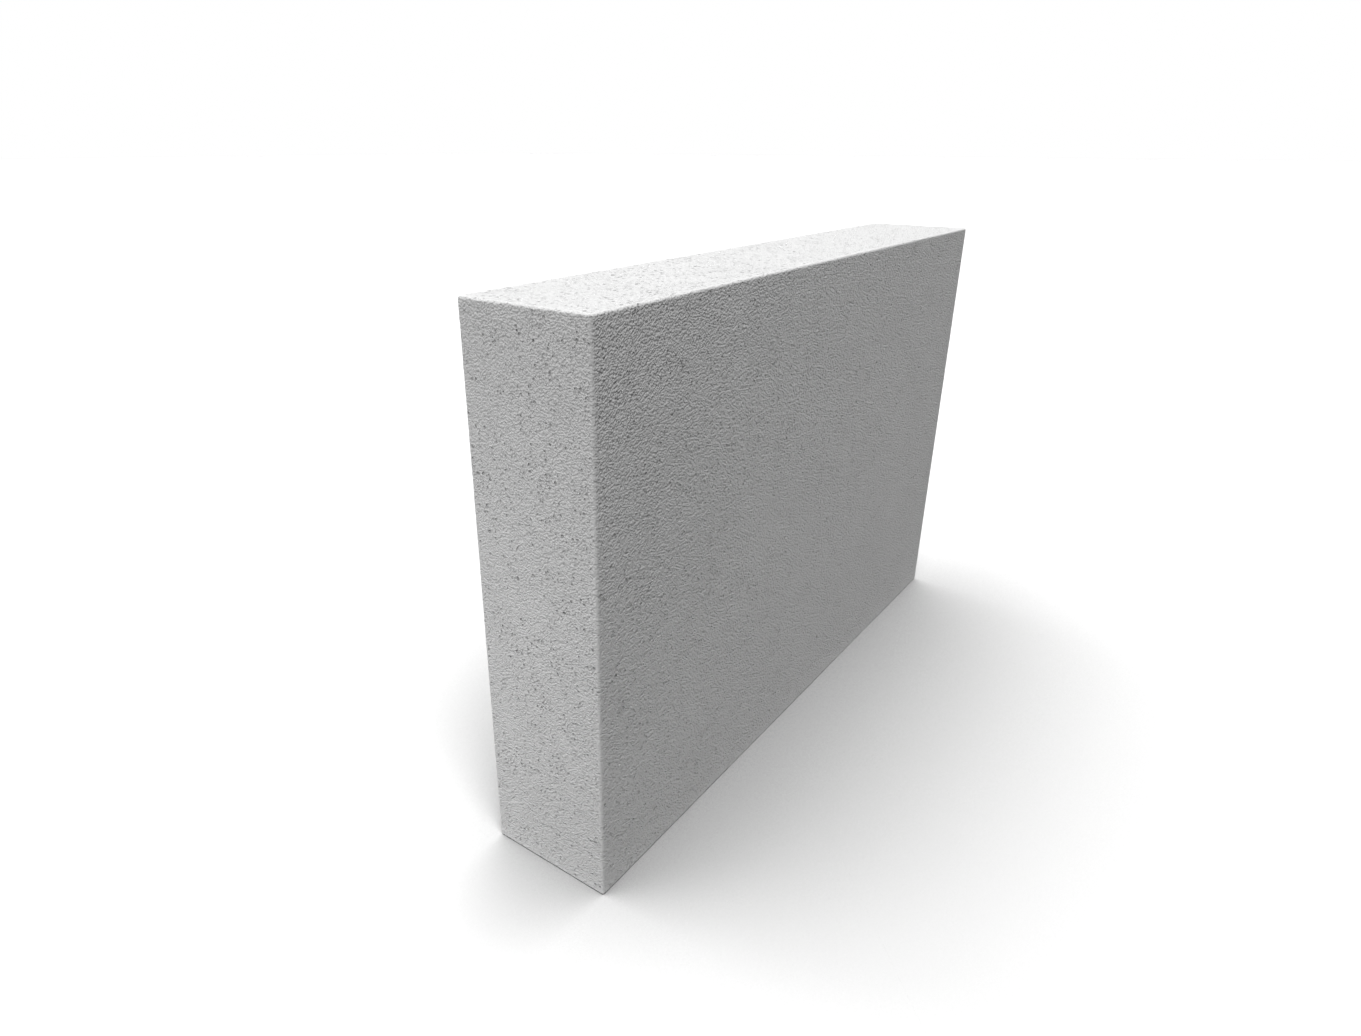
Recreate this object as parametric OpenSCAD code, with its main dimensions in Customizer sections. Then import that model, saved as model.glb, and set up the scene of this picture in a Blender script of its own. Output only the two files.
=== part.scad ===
// Smooth aerated concrete wall block, sawn from one cake: six plain faces,
// with every arris and corner eased to the same small radius.
// Millimetres. The origin is the centre of the bed face that the block stands on,
// X runs along the wall, Y across its thickness and Z up.

/* [Block] */
// Length along the wall
block_length = 600; // [200:5:1000]
// Thickness, which is the thickness of the wall
block_thickness = 100; // [50:5:400]
// Height of one course
block_height = 400; // [100:5:600]

/* [Arrises] */
// Radius of the eased arrises and corners
arris_radius = 2; // [0.5:0.5:10]

/* [Hidden] */
$fn = 64;

concrete_grey = "#bfbfbf";
outer = [block_length, block_thickness, block_height];
// Box whose edges are the centre lines of the arrises
inner = outer - 2 * arris_radius * [1, 1, 1];

// Three boxes that cross, each reaching the outer faces along one axis
module sawn_faces() {
    for (axis = [0 : 2])
        cube([for (i = [0 : 2]) i == axis ? outer[i] : inner[i]], center = true);
}

// Four round arrises that run up Z, at the corners of a rectangle
module four_arrises(rectangle, run) {
    for (x = [-1, 1], y = [-1, 1])
        translate([x * rectangle.x / 2, y * rectangle.y / 2, 0])
            cylinder(r = arris_radius, h = run, center = true);
}

// The twelve arrises, four along each axis
module arrises() {
    rotate([0, 90, 0]) four_arrises([inner.z, inner.y], inner.x);
    rotate([90, 0, 0]) four_arrises([inner.x, inner.z], inner.y);
    four_arrises([inner.x, inner.y], inner.z);
}

// A ball in each of the eight corners, where three arrises meet
module corners() {
    for (x = [-1, 1], y = [-1, 1], z = [-1, 1])
        translate([x * inner.x, y * inner.y, z * inner.z] / 2)
            sphere(arris_radius);
}

module block() {
    color(concrete_grey)
        translate([0, 0, block_height / 2])
            union() {
                sawn_faces();
                arrises();
                corners();
            }
}

block();
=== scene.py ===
"""Looks of a smooth aerated concrete wall block: sawn faces with open gas pores, worn arrises
and a matt grey finish, on a plain pale floor under soft light."""

import itertools
import math

import bmesh
import bpy
import numpy as np
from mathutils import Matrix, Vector


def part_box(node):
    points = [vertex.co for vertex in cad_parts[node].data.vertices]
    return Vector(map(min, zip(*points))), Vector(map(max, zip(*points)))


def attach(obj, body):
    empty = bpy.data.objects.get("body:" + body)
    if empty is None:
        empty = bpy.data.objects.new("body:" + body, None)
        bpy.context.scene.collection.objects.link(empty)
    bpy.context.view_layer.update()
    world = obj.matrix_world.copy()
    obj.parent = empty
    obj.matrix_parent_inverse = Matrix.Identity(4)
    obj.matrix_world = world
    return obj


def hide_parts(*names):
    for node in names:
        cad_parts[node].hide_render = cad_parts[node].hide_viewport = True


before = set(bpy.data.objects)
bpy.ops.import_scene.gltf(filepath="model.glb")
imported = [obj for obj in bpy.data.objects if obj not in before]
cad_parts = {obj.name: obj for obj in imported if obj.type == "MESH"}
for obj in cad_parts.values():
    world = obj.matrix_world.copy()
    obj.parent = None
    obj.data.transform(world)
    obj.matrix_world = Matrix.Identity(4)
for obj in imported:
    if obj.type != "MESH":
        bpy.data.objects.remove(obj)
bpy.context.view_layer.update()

MM = 0.001
TOLERANCE = 1e-9
SEED = 7
NOISE_MIDDLE = 0.5
PATCH_RANGE = (0.3, 0.7)    # noise levels that stand for the weakest and the strongest patches

# Body of the block
NODE = "block"
PIECE = "aerated_block"
BODY = "root"
ARRIS_RADIUS = 2 * MM
ARRIS_ROWS = 3              # rows of faces on each side of an arris's middle line
FACE_GRID = 10 * MM         # spacing of the grid over the flat of each face
ARRIS_CUTS = 3              # extra cuts across an arris in each grid space

# Wear of the arrises: its depth, and the noise that shapes its bites
ARRIS_WEAR = 0.16 * MM
WEAR_LENGTH = 3 * MM
WEAR_DETAIL = 3.0
WEAR_ROUGHNESS = 0.6
WEAR_RANGE = (0.42, 0.72)   # noise levels where a bite starts and where it is full

# Open pores: number to the square metre, least spacing, radii, depth as a share of the radius,
# and how finely their balls are divided
PORE_SOCKETS = {
    "Density": "Float", "Spacing": "Float", "Smallest": "Float", "Largest": "Float", "Depth": "Float",
    "Detail": "Int",
}
PORES = {
    "Pinhole": dict(
        density=6000, spacing=2.6 * MM, smallest=0.45 * MM, largest=0.95 * MM, depth=1.0, detail=1,
    ),
    "Blowhole": dict(
        density=1500, spacing=6 * MM, smallest=0.65 * MM, largest=1.3 * MM, depth=0.9, detail=2,
    ),
    "Chip": dict(
        density=8000, spacing=8 * MM, smallest=0.4 * MM, largest=1.0 * MM, depth=0.7, detail=2,
    ),
}
ARRIS_PORES = "Chip"        # the family that is found only on the arrises
ARRIS_LEAST = 0.9           # arris mark above which a face counts as part of an arris
PORE_CLUSTER = 45 * MM      # size of the patches with more and with fewer pores
CLUSTER_DETAIL = 1.0
SPARSE_SHARE = 0.25         # share of the pores that is left in the sparsest patches
SMALL_PORES = 2.2           # power that makes small pores more common than large ones
PORE_STRETCH = ((0.75, 0.75, 0.8), (1.25, 1.25, 1.2))    # least and most along each of a pore's axes
PORE_UNEVEN = 0.16          # how far a pore's wall strays from a ball, as a share of its radius
RADIUS_MARK = "pore_radius"
ARRIS_MARK = "arris"

# Flat map of the six faces: the way each faces, the ways across and up the map,
# and its column and row there
MAP_NAME = "OFBake"
MAP_GAP = 6 * MM
MAP_PLACES = (
    ((0, -1, 0), (1, 0, 0), (0, 0, 1), 0, 0),
    ((0, 1, 0), (-1, 0, 0), (0, 0, 1), 0, 1),
    ((-1, 0, 0), (0, -1, 0), (0, 0, 1), 1, 0),
    ((1, 0, 0), (0, 1, 0), (0, 0, 1), 1, 1),
    ((0, 0, 1), (0, -1, 0), (1, 0, 0), 2, 0),
    ((0, 0, -1), (0, -1, 0), (-1, 0, 0), 3, 0),
)

# Finish of the block
CONCRETE_GREY = 0.524
CONCRETE_ROUGHNESS = 0.92
CONCRETE_SPECULAR = 0.25
GRAIN_TURN = (0.7, 0.5, 0.3)    # turns the noise's cells out of line with the faces
# Sways of the grey, each with the size of its noise, the noise's detail and how far it goes
TONES = (
    (90 * MM, 2.0, 0.08),
    (14 * MM, 3.0, 0.08),
    (1.2 * MM, 0.0, 0.06),
)
# Relief, with the size of each noise, the noise's detail and its share of the depth
GRIT = (1.15 * MM, 0.0, 1.0)
LUMPS = (2.4 * MM, 1.0, 0.7)
RELIEF_DEPTH = 1.12 * MM
# Dents, one in each cell
DENT_CELL = 2.3 * MM
DENT_RANGE = (0.52, 0.02)   # distances from a cell's middle, in cells, where its dent starts and is full
DEEP_DENTS = 9.0            # power that makes deep dents rare
DENT_GROWTH = 2.2           # what the deepest dent adds to the shallowest
DENT_LEAST = 0.57           # depth of the shallowest dent
DENT_PATCH = 16 * MM        # size of the patches with deeper and with shallower dents
DENT_PATCH_DETAIL = 2.0
DENT_PATCH_SHARES = (0.55, 1.45)    # what the shallowest and the deepest patches make of the depth
DENT_PAINTED_SHADE = -0.04           # how far the grey is darkened in a dent: painted shade in the pits
DENT_RELIEF = -1.0          # a dent's share of the depth
# Fading of the relief towards the edges
ARRIS_FADE = 3 * MM         # how far from an edge the fading starts
ARRIS_RANGE = (1.0, 1.6)    # nearness to the faces, summed, on the flat and in the middle of an arris
ARRIS_RELIEF = 0.35         # share of the relief that is left on an arris

# Floor
FLOOR_SEEN = 0.657          # grey that the floor shows
FLOOR_BOUNCE = 0.20         # grey that it throws light back with
FOOT_BOUNCE = 0.36          # what is added to that beside the block
FOOT_REACH = 10 * MM        # how far from the block the added part falls to half
FLOOR_HALF = 30.0           # half of the floor's width in metres
CONTACT_REACH = 0.7         # how far from the block the floor's soft contact shadow, painted into its grey, reaches
CONTACT_SAMPLES = 4

# Lamps: where each shines from, how wide it is in degrees and the light it gives a face square to it
LAMPS = {
    "key_light": dict(toward=(-0.27, -0.36, 1.0), width=24, level=0.96),
    "top_light": dict(toward=(0.27, 0.0, 1.0), width=24, level=0.45),
    "back_left_light": dict(toward=(-0.27, 0.36, 1.0), width=24, level=0.31),
    "back_right_light": dict(toward=(0.27, 0.36, 1.0), width=24, level=0.12),
    "back_light": dict(toward=(0.0, 0.84, 1.0), width=24, level=0.25),
}
# Low lamp that lights the near end, with its sides in metres and its power in watts
LOW_LAMP = dict(place=(-0.76, 0.27, 0.15), aim=(-0.3, 0.0, 0.11), sides=(0.4, 0.2), power=1.36)

# Camera, solved from the block's visible corners in the photograph's pixels
IMAGE_WIDTH = 1361
IMAGE_HEIGHT = 1036
FOCAL_PIXELS = 864.73
AXIS_PIXEL = (636.67, 528.14)
CAMERA_PLACE = (-0.64365, -0.33481, 0.47985)
CAMERA_TURN = math.radians(-53.315)
CAMERA_DIP = math.radians(24.058)
SENSOR_WIDTH = 36           # millimetres
NEAREST_SEEN = 0.01         # metres


# Node trees

def add_node(tree, kind, inputs=None, **settings):
    """Adds a node, sets its properties and fills its inputs, by name or number, with values or links."""
    made = tree.nodes.new(kind)
    for name, value in settings.items():
        setattr(made, name, value)
    for socket, value in (inputs or {}).items():
        if isinstance(value, bpy.types.NodeSocket):
            tree.links.new(value, made.inputs[socket])
        else:
            made.inputs[socket].default_value = value
    return made


def calculate(tree, operation, *values):
    """The output of one Math node."""
    return add_node(tree, "ShaderNodeMath", dict(enumerate(values)), operation=operation).outputs[0]


def vector_step(tree, operation, *values):
    """The outputs of one Vector Math node."""
    return add_node(tree, "ShaderNodeVectorMath", dict(enumerate(values)), operation=operation).outputs


def scaled(tree, vector, factor):
    """A vector times a number."""
    return add_node(tree, "ShaderNodeVectorMath", {0: vector, 3: factor}, operation="SCALE").outputs[0]


def map_range(tree, value, start, end, **settings):
    """A value taken from the start range to the end range, and held inside it."""
    inputs = dict(enumerate((value, *start, *end)))
    return add_node(tree, "ShaderNodeMapRange", inputs, **settings).outputs[0]


def grey(tree, level):
    """The grey colour of a level."""
    return add_node(tree, "ShaderNodeCombineColor", {0: level, 1: level, 2: level}).outputs[0]


def marked(tree, name):
    """The values of a named mark on the geometry."""
    return add_node(tree, "GeometryNodeInputNamedAttribute", {"Name": name}, data_type="FLOAT").outputs[0]


def shown(tree):
    """1 for a ray that shows something to the camera, and 0 for one that only carries light."""
    path = add_node(tree, "ShaderNodeLightPath").outputs
    seen = calculate(tree, "MAXIMUM", path["Is Camera Ray"], path["Is Glossy Ray"])
    return calculate(tree, "MAXIMUM", seen, path["Is Transmission Ray"])


def beyond_box(tree, place, inset):
    """How far along each axis a place lies beyond the block's box drawn in by the inset, as a vector."""
    low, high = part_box(NODE)
    half = (high - low) / 2 - Vector((inset,) * 3)
    offset = vector_step(tree, "SUBTRACT", place, (low + high) / 2)[0]
    past = vector_step(tree, "SUBTRACT", vector_step(tree, "ABSOLUTE", offset)[0], half)[0]
    return vector_step(tree, "MAXIMUM", past, (0, 0, 0))[0]


def new_tree(name, inputs, outputs):
    """A Geometry Nodes tree with named inputs and outputs, and its two end nodes."""
    tree = bpy.data.node_groups.new(name, "GeometryNodeTree")
    for in_out, sockets in (("INPUT", inputs), ("OUTPUT", outputs)):
        for label, kind in sockets.items():
            tree.interface.new_socket(label, in_out=in_out, socket_type="NodeSocket" + kind)
    return tree, tree.nodes.new("NodeGroupInput").outputs, tree.nodes.new("NodeGroupOutput")


def set_input(modifier, label, value):
    """Sets a modifier's input by the identifier of the socket with that name."""
    for socket in modifier.node_group.interface.items_tree:
        if socket.item_type == "SOCKET" and socket.in_out == "INPUT" and socket.name == label:
            modifier[socket.identifier] = value


def add_object(name, data):
    """A new object in the scene."""
    made = bpy.data.objects.new(name, data)
    bpy.context.scene.collection.objects.link(made)
    return made


# Body of the block

def grid_lines(half):
    """Places of the grid lines along one axis: even over the flat, closer over the two arrises."""
    flat = half - ARRIS_RADIUS
    spaces = max(1, round(2 * flat / FACE_GRID))
    turns = [math.pi / 4 * (row + 1) / ARRIS_ROWS for row in range(ARRIS_ROWS)]
    bend = [flat + ARRIS_RADIUS * math.tan(turn) for turn in turns]
    even = [-flat + 2 * flat * i / spaces for i in range(spaces + 1)]
    return [-place for place in reversed(bend)] + even + bend


def block_body(low, high):
    """The block with round arrises, gridded so that pores can be cut in it, as a new mesh."""
    middle = (low + high) / 2
    half = (high - low) / 2
    flat = half - Vector((ARRIS_RADIUS,) * 3)
    lines = [grid_lines(size) for size in half]
    bm = bmesh.new()
    arris = bm.verts.layers.float.new(ARRIS_MARK)
    made = {}

    def corner(index):
        """The vertex at a crossing of grid lines, made when it is first asked for."""
        if index not in made:
            place = Vector(lines[axis][index[axis]] for axis in range(3))
            core = Vector(max(-flat[axis], min(flat[axis], place[axis])) for axis in range(3))
            vert = bm.verts.new(middle + core + (place - core).normalized() * ARRIS_RADIUS)
            bent = sum(abs(place[axis]) >= flat[axis] - TOLERANCE for axis in range(3))
            vert[arris] = 1.0 if bent > 1 else 0.0
            made[index] = vert
        return made[index]

    for axis in range(3):
        across, up = (axis + 1) % 3, (axis + 2) % 3
        for end, ring in ((len(lines[axis]) - 1, (0, 1, 2, 3)), (0, (3, 2, 1, 0))):
            spans = itertools.product(range(len(lines[across]) - 1), range(len(lines[up]) - 1))
            for u, v in spans:
                quad = []
                for du, dv in ((0, 0), (1, 0), (1, 1), (0, 1)):
                    index = [0, 0, 0]
                    index[axis], index[across], index[up] = end, u + du, v + dv
                    quad.append(corner(tuple(index)))
                bm.faces.new([quad[i] for i in ring])

    arris_edges = [edge for edge in bm.edges if all(vert[arris] > 0 for vert in edge.verts)]
    long_edges = [edge for edge in arris_edges if edge.calc_length() > FACE_GRID / 2]
    bmesh.ops.subdivide_edges(
        bm, edges=long_edges, cuts=ARRIS_CUTS, use_grid_fill=True, use_single_edge=True,
    )
    bmesh.ops.triangulate(bm, faces=bm.faces)
    mesh = bpy.data.meshes.new(PIECE + "_body")
    bm.to_mesh(mesh)
    bm.free()
    return mesh


# Pores

def pore_tree():
    """A tree that scatters uneven balls over a surface, to be cut out of it."""
    tree, given, result = new_tree(
        "pore_cutters",
        {"Surface": "Geometry", "Where": "Bool", **PORE_SOCKETS, "Seed": "Int"},
        {"Cutters": "Geometry"},
    )

    def random_value(kind, inputs):
        return add_node(
            tree, "FunctionNodeRandomValue", {**inputs, "Seed": given["Seed"]}, data_type=kind,
        ).outputs

    patches = add_node(tree, "ShaderNodeTexNoise", {"Scale": 1 / PORE_CLUSTER, "Detail": CLUSTER_DETAIL})
    share = map_range(tree, patches.outputs[0], PATCH_RANGE, (SPARSE_SHARE, 1.0))
    points = add_node(
        tree, "GeometryNodeDistributePointsOnFaces",
        {"Mesh": given["Surface"], "Selection": given["Where"], "Distance Min": given["Spacing"],
         "Density Max": given["Density"], "Density Factor": share, "Seed": given["Seed"]},
        distribute_method="POISSON",
    )
    small_often = calculate(tree, "POWER", random_value("FLOAT", {})[1], SMALL_PORES)
    growth = calculate(tree, "SUBTRACT", given["Largest"], given["Smallest"])
    radius = calculate(tree, "MULTIPLY_ADD", small_often, growth, given["Smallest"])
    stored = add_node(
        tree, "GeometryNodeStoreNamedAttribute",
        {"Geometry": points.outputs["Points"], "Name": RADIUS_MARK, "Value": radius},
        data_type="FLOAT", domain="POINT",
    )
    ball = add_node(tree, "GeometryNodeMeshIcoSphere", {"Radius": 1.0, "Subdivisions": given["Detail"]})
    stretch = random_value("FLOAT_VECTOR", {0: PORE_STRETCH[0], 1: PORE_STRETCH[1]})[0]
    deep = add_node(tree, "ShaderNodeCombineXYZ", {0: 1.0, 1: 1.0, 2: given["Depth"]})
    shape = vector_step(tree, "MULTIPLY", stretch, deep.outputs[0])[0]
    spin = random_value("FLOAT", {2: 0.0, 3: math.tau})[1]
    turn = add_node(tree, "FunctionNodeAxisAngleToRotation", {"Axis": (0, 0, 1), "Angle": spin})
    facing = add_node(
        tree, "FunctionNodeRotateRotation",
        {"Rotation": points.outputs["Rotation"], "Rotate By": turn.outputs[0]}, rotation_space="LOCAL",
    )
    placed = add_node(
        tree, "GeometryNodeInstanceOnPoints",
        {"Points": stored.outputs[0], "Instance": ball.outputs["Mesh"], "Rotation": facing.outputs[0],
         "Scale": scaled(tree, shape, radius)},
    )
    real = add_node(tree, "GeometryNodeRealizeInstances", {"Geometry": placed.outputs[0]})
    wobble = random_value("FLOAT_VECTOR", {0: (-PORE_UNEVEN,) * 3, 1: (PORE_UNEVEN,) * 3})[0]
    offset = scaled(tree, wobble, marked(tree, RADIUS_MARK))
    uneven = add_node(tree, "GeometryNodeSetPosition", {"Geometry": real.outputs[0], "Offset": offset})
    tree.links.new(uneven.outputs[0], result.inputs["Cutters"])
    return tree


def block_tree(pores):
    """A tree that wears the arrises, cuts each family of pores and gives the result its finish."""
    sockets = {"Geometry": "Geometry", "Arris wear": "Float", "Wear length": "Float", "Seed": "Int"}
    for family in PORES:
        for name, kind in PORE_SOCKETS.items():
            sockets[f"{family} {name.lower()}"] = kind
    tree, given, result = new_tree(
        "pored_block", {**sockets, "Finish": "Material"}, {"Geometry": "Geometry"},
    )
    arris = marked(tree, ARRIS_MARK)
    bites = add_node(
        tree, "ShaderNodeTexNoise",
        {"Scale": calculate(tree, "DIVIDE", 1.0, given["Wear length"]), "Detail": WEAR_DETAIL,
         "Roughness": WEAR_ROUGHNESS},
    )
    worn = map_range(tree, bites.outputs[0], WEAR_RANGE, (0.0, 1.0))
    depth = calculate(tree, "MULTIPLY", worn, calculate(tree, "MULTIPLY", arris, given["Arris wear"]))
    normal = add_node(tree, "GeometryNodeInputNormal").outputs[0]
    inward = scaled(tree, normal, calculate(tree, "MULTIPLY", depth, -1.0))
    surface = add_node(
        tree, "GeometryNodeSetPosition", {"Geometry": given["Geometry"], "Offset": inward},
    ).outputs[0]
    on_arris = add_node(tree, "FunctionNodeCompare", {0: arris, 1: ARRIS_LEAST}, operation="GREATER_THAN")
    cut = surface
    for number, family in enumerate(PORES):
        values = {name: given[f"{family} {name.lower()}"] for name in PORE_SOCKETS}
        values["Surface"] = surface
        values["Where"] = on_arris.outputs[0] if family == ARRIS_PORES else True
        values["Seed"] = calculate(tree, "ADD", given["Seed"], float(number))
        cutters = add_node(tree, "GeometryNodeGroup", values, node_tree=pores)
        cut = add_node(
            tree, "GeometryNodeMeshBoolean", {"Mesh 1": cut, "Mesh 2": cutters.outputs[0]},
            operation="DIFFERENCE", solver="MANIFOLD",
        ).outputs[0]
    real = add_node(tree, "GeometryNodeRealizeInstances", {"Geometry": cut})
    flat = add_node(
        tree, "GeometryNodeSetShadeSmooth", {"Geometry": real.outputs[0], "Shade Smooth": False},
        domain="FACE",
    )
    finished = add_node(
        tree, "GeometryNodeSetMaterial", {"Geometry": flat.outputs[0], "Material": given["Finish"]},
    )
    tree.links.new(finished.outputs[0], result.inputs["Geometry"])
    return tree


def read_all(items, name, width, kind=np.float32):
    """One property of all the items, as an array with a row for each."""
    values = np.empty(len(items) * width, kind)
    items.foreach_get(name, values)
    return values.reshape(-1, width)


def lay_out_map(mesh, low, high):
    """Gives the mesh a flat map that has the block's six faces side by side."""
    middle = np.array((low + high) / 2)
    size = np.array(high - low)
    normals = np.array([place[0] for place in MAP_PLACES])
    beyond = (read_all(mesh.polygons, "center", 3) - middle) @ normals.T - abs(normals) @ size / 2
    face = np.repeat(beyond.argmax(1), read_all(mesh.polygons, "loop_total", 1, np.int32)[:, 0])
    order = read_all(mesh.loops, "vertex_index", 1, np.int32)[:, 0]
    corners = read_all(mesh.vertices, "co", 3)[order] - middle
    widths = {column: abs(np.array(across)) @ size for _, across, _, column, _ in MAP_PLACES}
    side = sum(widths.values()) + MAP_GAP * (len(widths) + 1)
    spots = np.zeros((len(corners), 2), np.float32)
    for number, (_, across, up, column, row) in enumerate(MAP_PLACES):
        here = corners[face == number]
        left = MAP_GAP + sum(widths[earlier] + MAP_GAP for earlier in range(column))
        height = abs(np.array(up)) @ size
        bottom = MAP_GAP + row * (height + MAP_GAP)
        spots[face == number, 0] = (here @ np.array(across) + widths[column] / 2 + left) / side
        spots[face == number, 1] = (here @ np.array(up) + height / 2 + bottom) / side
    mesh.uv_layers.new(name=MAP_NAME).data.foreach_set("uv", spots.ravel())


def make_block(finish):
    """The finished block as one plain mesh."""
    low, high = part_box(NODE)
    rough = add_object(PIECE + "_rough", block_body(low, high))
    modifier = rough.modifiers.new("pores", "NODES")
    modifier.node_group = block_tree(pore_tree())
    set_input(modifier, "Arris wear", ARRIS_WEAR)
    set_input(modifier, "Wear length", WEAR_LENGTH)
    set_input(modifier, "Seed", SEED)
    set_input(modifier, "Finish", finish)
    for family, sizes in PORES.items():
        for name, value in sizes.items():
            set_input(modifier, f"{family} {name}", value)
    evaluated = rough.evaluated_get(bpy.context.evaluated_depsgraph_get())
    mesh = bpy.data.meshes.new_from_object(evaluated)
    mesh.name = PIECE
    lay_out_map(mesh, low, high)
    bpy.data.objects.remove(rough)
    return add_object(PIECE, mesh)


# Finish of the block

def relief_share(tree, place):
    """1 on the flat of the faces, falling to ARRIS_RELIEF on the arrises."""
    near = beyond_box(tree, place, ARRIS_FADE)
    summed = vector_step(tree, "DOT_PRODUCT", near, (1 / ARRIS_FADE,) * 3)["Value"]
    return map_range(tree, summed, ARRIS_RANGE, (1.0, ARRIS_RELIEF))


def concrete_finish():
    """Matt grey with soft clouds, fine specks, shade painted into the dents and a pitted, gritty relief."""
    material = bpy.data.materials.new("aerated_concrete_finish")
    material.use_nodes = True
    tree = material.node_tree
    shader = tree.nodes["Principled BSDF"]
    shader.inputs["Roughness"].default_value = CONCRETE_ROUGHNESS
    shader.inputs["Specular IOR Level"].default_value = CONCRETE_SPECULAR
    along = add_node(tree, "ShaderNodeTexCoord").outputs["Object"]
    place = add_node(tree, "ShaderNodeMapping", {"Vector": along, "Rotation": GRAIN_TURN}).outputs[0]

    def noise(size, detail):
        return add_node(
            tree, "ShaderNodeTexNoise", {"Vector": place, "Scale": 1 / size, "Detail": detail},
        ).outputs[0]

    def sway(size, detail, amount):
        centred = calculate(tree, "SUBTRACT", noise(size, detail), NOISE_MIDDLE)
        return calculate(tree, "MULTIPLY", centred, amount)

    cells = add_node(tree, "ShaderNodeTexVoronoi", {"Vector": place, "Scale": 1 / DENT_CELL}).outputs
    hollow = map_range(tree, cells["Distance"], DENT_RANGE, (0.0, 1.0), interpolation_type="SMOOTHSTEP")
    chance = add_node(tree, "ShaderNodeSeparateColor", {"Color": cells["Color"]}).outputs[0]
    deep_seldom = calculate(tree, "POWER", chance, DEEP_DENTS)
    depth = calculate(tree, "MULTIPLY_ADD", deep_seldom, DENT_GROWTH, DENT_LEAST)
    patches = map_range(tree, noise(DENT_PATCH, DENT_PATCH_DETAIL), PATCH_RANGE, DENT_PATCH_SHARES)
    dent = calculate(tree, "MULTIPLY", hollow, calculate(tree, "MULTIPLY", depth, patches))

    # Grey of the finish: random tones of the concrete, then painted shade that darkens each dent
    shade = sway(*TONES[0])
    for tone in TONES[1:]:
        shade = calculate(tree, "ADD", shade, sway(*tone))
    # painted shade: each dent darkens the grey
    shade = calculate(tree, "MULTIPLY_ADD", dent, DENT_PAINTED_SHADE, shade)
    level = calculate(tree, "MULTIPLY_ADD", shade, CONCRETE_GREY, CONCRETE_GREY)
    tree.links.new(grey(tree, level), shader.inputs["Base Color"])

    height = calculate(tree, "ADD", sway(*GRIT), sway(*LUMPS))
    height = calculate(tree, "MULTIPLY_ADD", dent, DENT_RELIEF, height)
    height = calculate(tree, "MULTIPLY", height, relief_share(tree, along))
    bump = add_node(tree, "ShaderNodeBump", {"Height": height, "Distance": RELIEF_DEPTH, "Strength": 1.0})
    tree.links.new(bump.outputs[0], shader.inputs["Normal"])
    return material


# Stage

def floor_finish():
    """Pale floor that looks white where it is lit, with a soft contact shadow painted into its grey near the
    block.
    It throws less light back than it shows, though more beside the block than elsewhere."""
    material = bpy.data.materials.new("pale_floor")
    material.use_nodes = True
    tree = material.node_tree
    tree.nodes.clear()
    # painted shadow: ambient occlusion darkens the grey the floor shows near the block
    contact = add_node(
        tree, "ShaderNodeAmbientOcclusion", {"Color": (FLOOR_SEEN,) * 3 + (1,), "Distance": CONTACT_REACH},
        samples=CONTACT_SAMPLES,
    )
    seen = add_node(tree, "ShaderNodeBsdfDiffuse", {"Color": contact.outputs["Color"]})
    place = add_node(tree, "ShaderNodeTexCoord").outputs["Object"]
    gap = vector_step(tree, "LENGTH", beyond_box(tree, place, 0.0))["Value"]
    reaches = calculate(tree, "MULTIPLY_ADD", gap, 1 / FOOT_REACH, 1.0)
    closeness = calculate(tree, "DIVIDE", 1.0, reaches)
    level = calculate(tree, "MULTIPLY_ADD", closeness, FOOT_BOUNCE, FLOOR_BOUNCE)
    bounce = add_node(tree, "ShaderNodeBsdfDiffuse", {"Color": grey(tree, level)})
    mixed = add_node(tree, "ShaderNodeMixShader", {0: shown(tree), 1: bounce.outputs[0], 2: seen.outputs[0]})
    output = add_node(tree, "ShaderNodeOutputMaterial", {"Surface": mixed.outputs[0]})
    output.is_active_output = True
    return material


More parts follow.
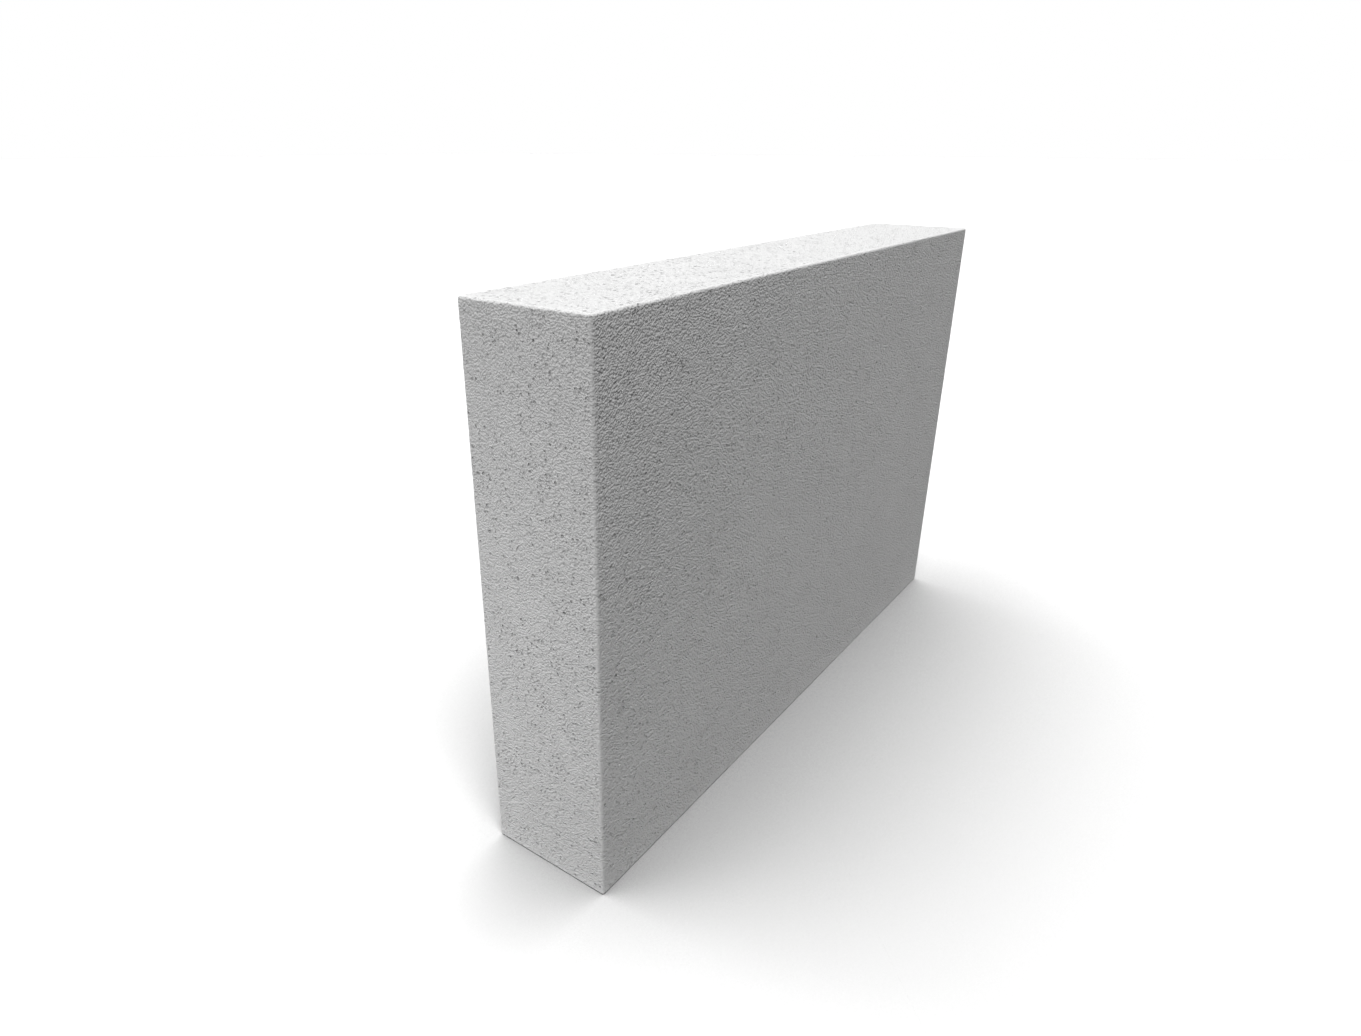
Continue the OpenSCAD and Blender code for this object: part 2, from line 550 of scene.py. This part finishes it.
def make_floor():
    """A wide flat floor at the height of the block's foot."""
    mesh = bpy.data.meshes.new("floor")
    corners = [(x * FLOOR_HALF, y * FLOOR_HALF, 0) for x, y in ((-1, -1), (1, -1), (1, 1), (-1, 1))]
    mesh.from_pydata(corners, [], [(0, 1, 2, 3)])
    mesh.materials.append(floor_finish())
    return add_object("floor", mesh)


def add_lamp(name, kind, energy, toward, place=(0, 0, 0)):
    """A lamp that shines from the given side, or from the given place, as its data and its object."""
    data = bpy.data.lights.new(name, kind)
    data.energy = energy
    light = add_object(name, data)
    light.location = place
    light.rotation_euler = Vector(toward).to_track_quat("Z", "Y").to_euler()
    return data, light


def make_lamps():
    """The wide lamps overhead and the low one by the near end."""
    for name, lamp in LAMPS.items():
        data, _ = add_lamp(name, "SUN", math.pi * lamp["level"], lamp["toward"])
        data.angle = math.radians(lamp["width"])
    toward = Vector(LOW_LAMP["place"]) - Vector(LOW_LAMP["aim"])
    data, light = add_lamp("low_light", "AREA", LOW_LAMP["power"], toward, LOW_LAMP["place"])
    data.shape = "RECTANGLE"
    data.size, data.size_y = LOW_LAMP["sides"]
    light.visible_camera = False


def make_world():
    """A world that gives no light of its own and shows white."""
    world = bpy.data.worlds.new("white_room")
    world.use_nodes = True
    tree = world.node_tree
    background = tree.nodes["Background"]
    background.inputs["Color"].default_value = (1, 1, 1, 1)
    tree.links.new(shown(tree), background.inputs["Strength"])
    bpy.context.scene.world = world


def make_camera():
    """A camera set where the photograph was taken from."""
    data = bpy.data.cameras.new("camera")
    data.sensor_width = SENSOR_WIDTH
    data.lens = SENSOR_WIDTH * FOCAL_PIXELS / IMAGE_WIDTH
    data.shift_x = (IMAGE_WIDTH / 2 - AXIS_PIXEL[0]) / IMAGE_WIDTH
    data.shift_y = (AXIS_PIXEL[1] - IMAGE_HEIGHT / 2) / IMAGE_WIDTH
    data.clip_start = NEAREST_SEEN
    camera = add_object("camera", data)
    camera.location = CAMERA_PLACE
    camera.rotation_euler = (math.pi / 2 - CAMERA_DIP, 0, CAMERA_TURN)
    bpy.context.scene.camera = camera


block = make_block(concrete_finish())
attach(block, BODY)
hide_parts(NODE)
make_floor()
make_lamps()
make_world()
make_camera()
bpy.context.scene.view_settings.view_transform = "Standard"
